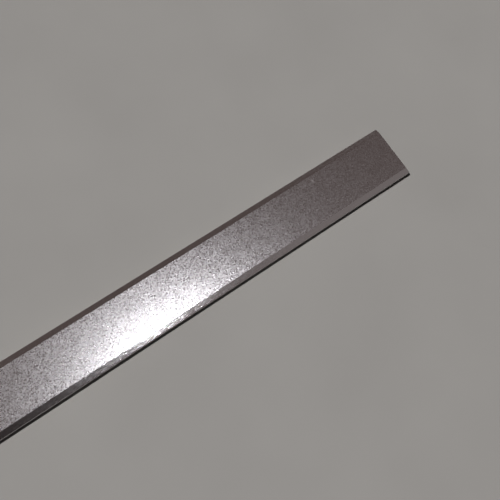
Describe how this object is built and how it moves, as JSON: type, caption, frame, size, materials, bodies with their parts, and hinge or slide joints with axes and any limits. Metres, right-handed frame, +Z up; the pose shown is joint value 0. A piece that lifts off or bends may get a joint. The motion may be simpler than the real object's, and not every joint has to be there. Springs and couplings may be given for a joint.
{
  "type": "aluminium extrusion profile",
  "caption": "Straight length of satin anodised aluminium cover profile: flat face with bevelled edges, short side legs and ribs inside the open back.",
  "frame": {"origin": "middle of the length and of the width, on the ground under the legs", "axes": "+X along the stock, +Y across it, +Z up out of the show face"},
  "size_m": [1, 0.05, 0.012],
  "materials": {
    "anodised_aluminium": "satin, blasted and clear anodised"
  },
  "bodies": {
    "root": {"aluminium_profile": "anodised_aluminium"}
  },
  "joints": []
}
